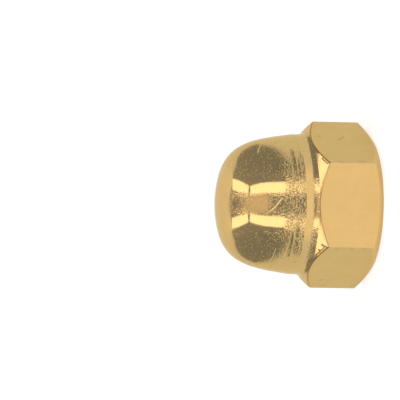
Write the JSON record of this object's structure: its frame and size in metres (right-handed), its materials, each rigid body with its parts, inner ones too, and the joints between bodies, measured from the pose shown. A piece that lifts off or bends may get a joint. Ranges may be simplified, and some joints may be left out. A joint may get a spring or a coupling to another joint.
{
  "type": "domed cap nut",
  "caption": "Brass hexagonal cap nut with a chamfered bearing ring, a short collar, a tall closed dome and a blind threaded hole with a countersunk mouth.",
  "frame": {"origin": "centre of the bearing face, which is the annular face round the thread's mouth", "axes": "+Z runs along the thread's axis from the bearing face to the top of the dome. Two of the six flats face -Y and +Y, and two corners lie on the X axis"},
  "size_m": [0.0196, 0.017, 0.018],
  "materials": {
    "brass": "bare turned brass, bright on the flats and the dome, finely pitted and lightly scratched, with a darker, dull bearing ring"
  },
  "bodies": {
    "root": {"cap_nut": "brass"}
  },
  "joints": []
}
